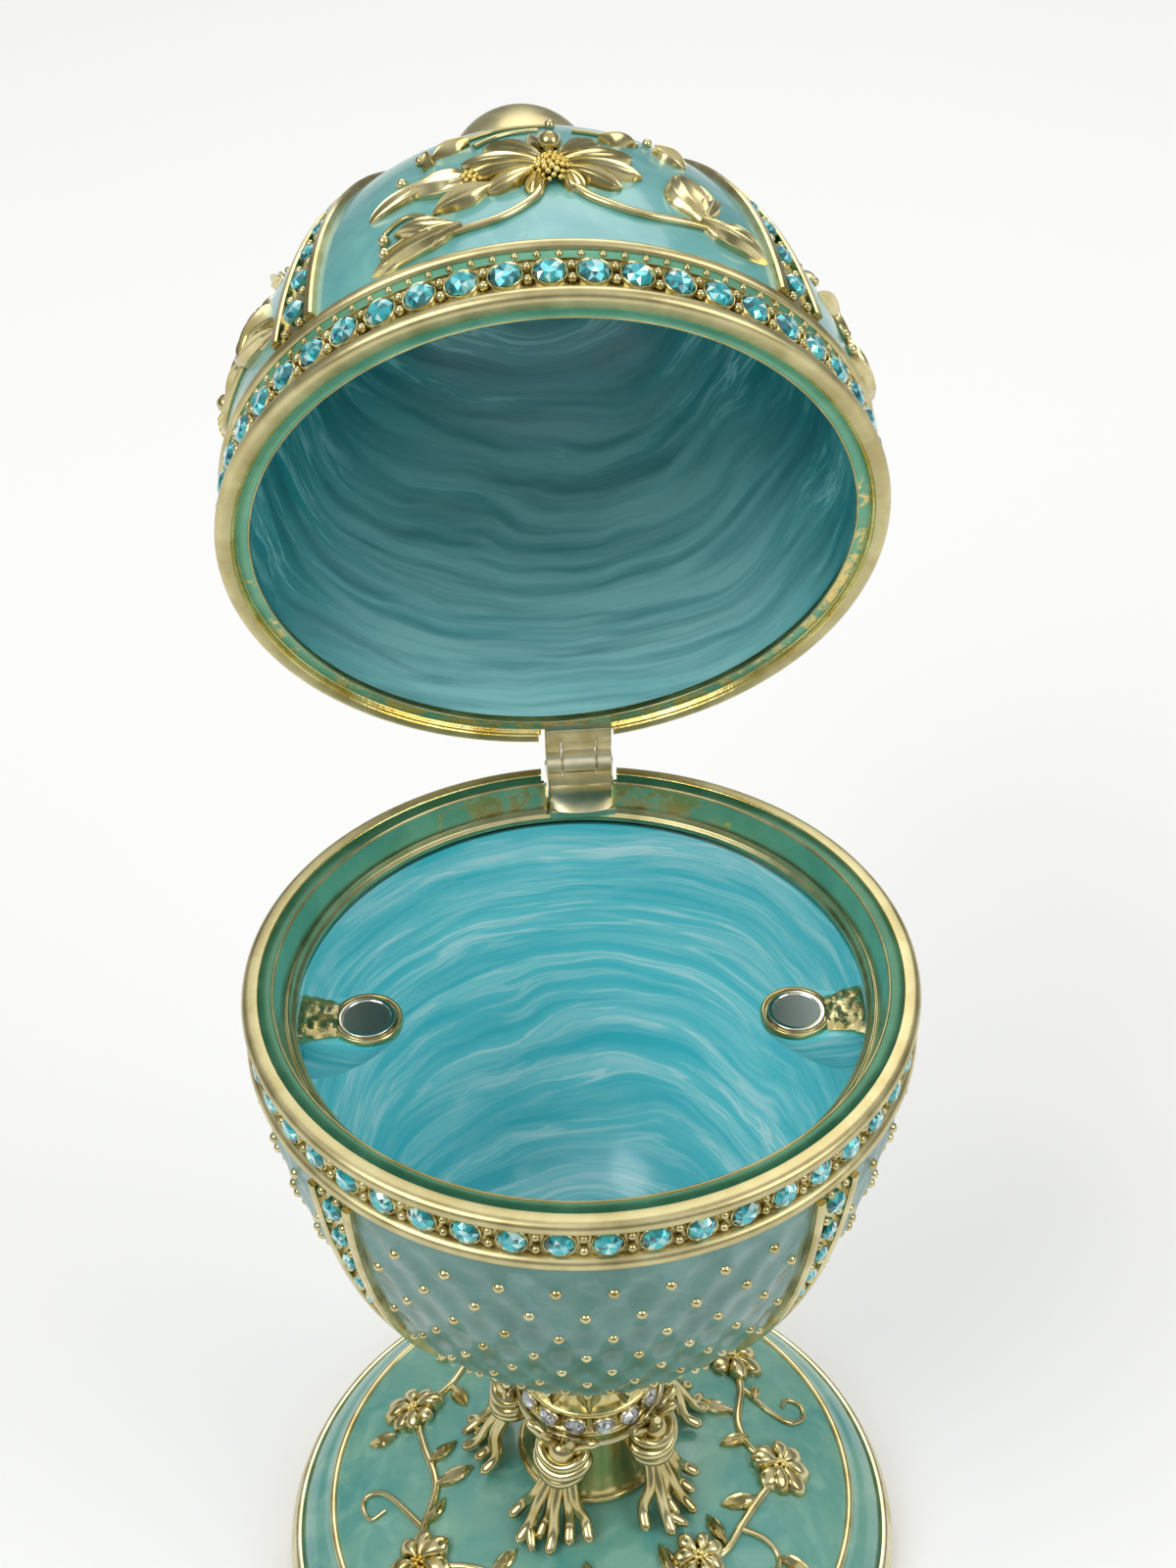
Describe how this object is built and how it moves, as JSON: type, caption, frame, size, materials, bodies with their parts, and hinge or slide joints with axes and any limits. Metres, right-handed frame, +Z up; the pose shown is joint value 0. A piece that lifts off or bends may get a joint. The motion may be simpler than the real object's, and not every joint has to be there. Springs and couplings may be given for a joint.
{
  "type": "jewelled egg trinket box",
  "caption": "Enamelled and gilt egg-shaped trinket box on a domed foot, with set stones round its rims and ribs and a hinged lid that stands open.",
  "frame": {"origin": "centre of the foot's flat underside, on the surface it stands on", "axes": "+Z up the egg's axis, +Y towards the hinge at the back, +X to the right seen from the front"},
  "size_m": [0.067, 0.1085, 0.1481],
  "materials": {
    "gilt": "pale gold plate, bright cast and polished",
    "foot_enamel": "cloudy sea-green enamel on cast metal",
    "bowl_enamel": "pearly grey-teal enamel on cast metal",
    "lid_enamel": "glossy aqua enamel on cast metal",
    "pearl_lining": "swirled pearl turquoise lining",
    "blue_stone": "faceted and foil-backed",
    "clear_stone": "faceted and foil-backed",
    "nickel": "bright nickel plate"
  },
  "bodies": {
    "box": {"base": "foot_enamel", "pedestal": "gilt", "bowl": "bowl_enamel", "magnet_left": "nickel", "magnet_right": "nickel", "hinge_leaf_bowl": "gilt", "hinge_pin": "gilt"},
    "lid": {"lid": "lid_enamel", "hinge_leaf_lid": "gilt"}
  },
  "joints": [
    {"name": "lid_hinge", "type": "hinge", "parent": "box", "child": "lid", "pos_m": [0, 0.0316, 0.0839], "axis": [0.9976, 0.0698, 0], "range_deg": [0, 72]}
  ]
}
